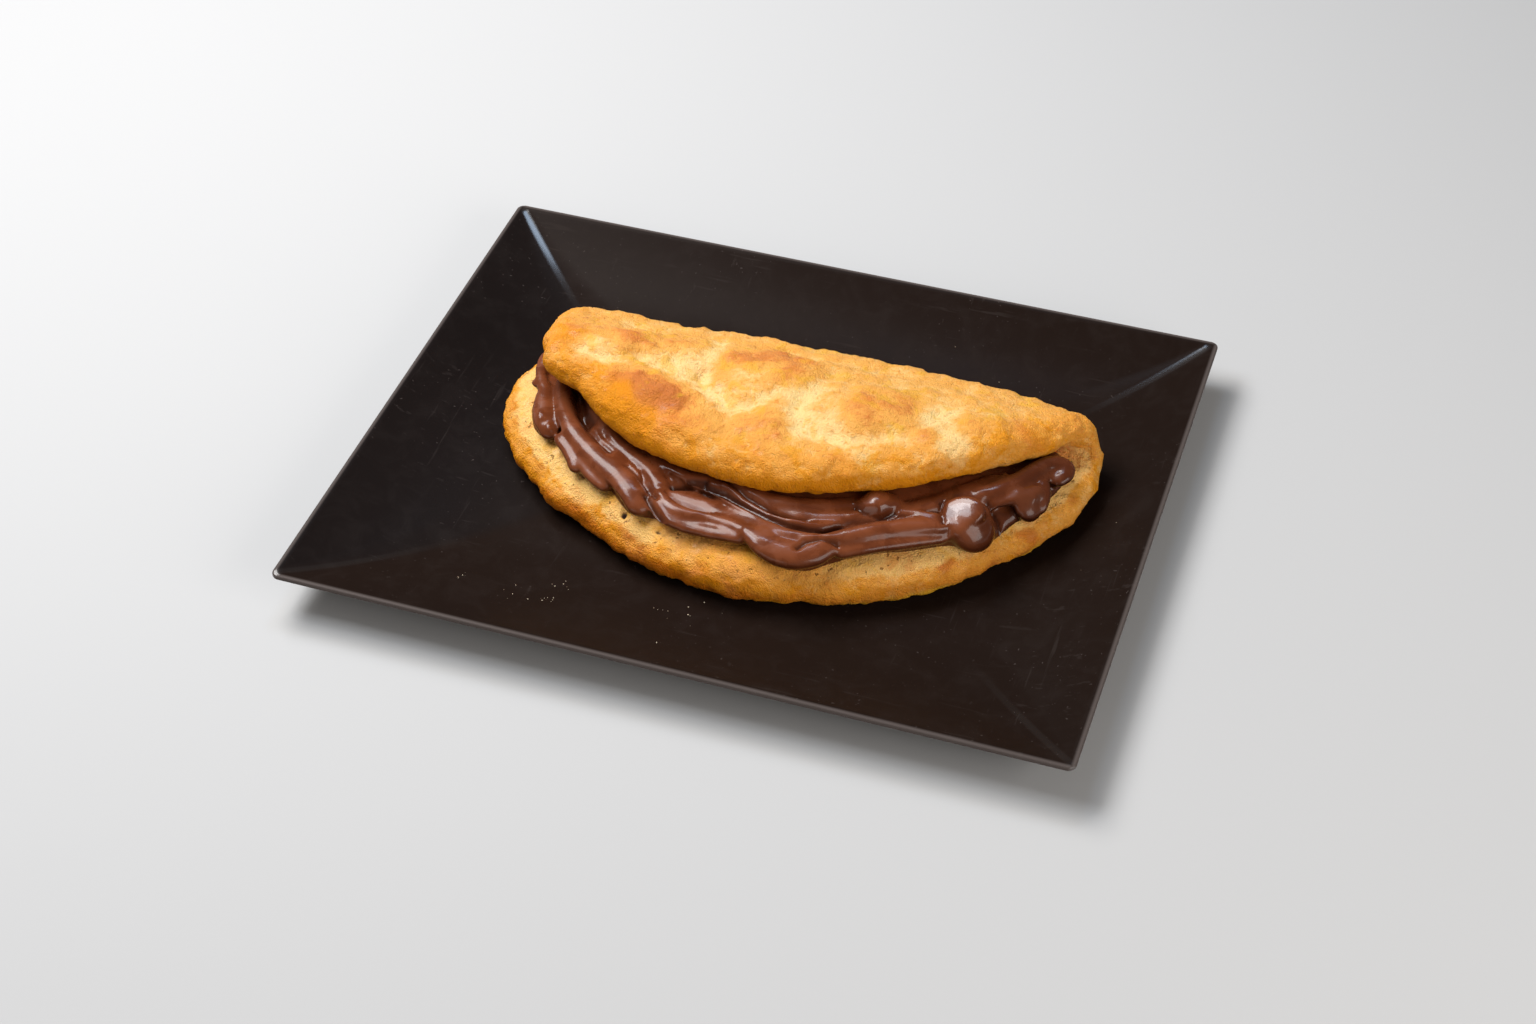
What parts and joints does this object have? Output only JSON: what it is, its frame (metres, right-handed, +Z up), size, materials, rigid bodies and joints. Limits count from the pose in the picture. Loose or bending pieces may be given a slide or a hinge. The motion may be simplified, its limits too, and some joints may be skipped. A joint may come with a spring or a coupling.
{
  "type": "plate of langos",
  "caption": "Fried flatbread folded over a chocolate spread filling, resting on a shallow rectangular plate with sloping sides.",
  "frame": {"origin": "middle of the plate's underside", "axes": "+X along the plate's long side, to the right of the open mouth; -Y out of the mouth; +Z up"},
  "size_m": [0.23, 0.18, 0.0368],
  "materials": {
    "plate": "black satin-gloss polystyrene with fine scratches and dust",
    "crust": null,
    "chocolate": null
  },
  "bodies": {
    "root": {"plate": "plate", "dough": "crust", "filling": "chocolate"}
  },
  "joints": []
}
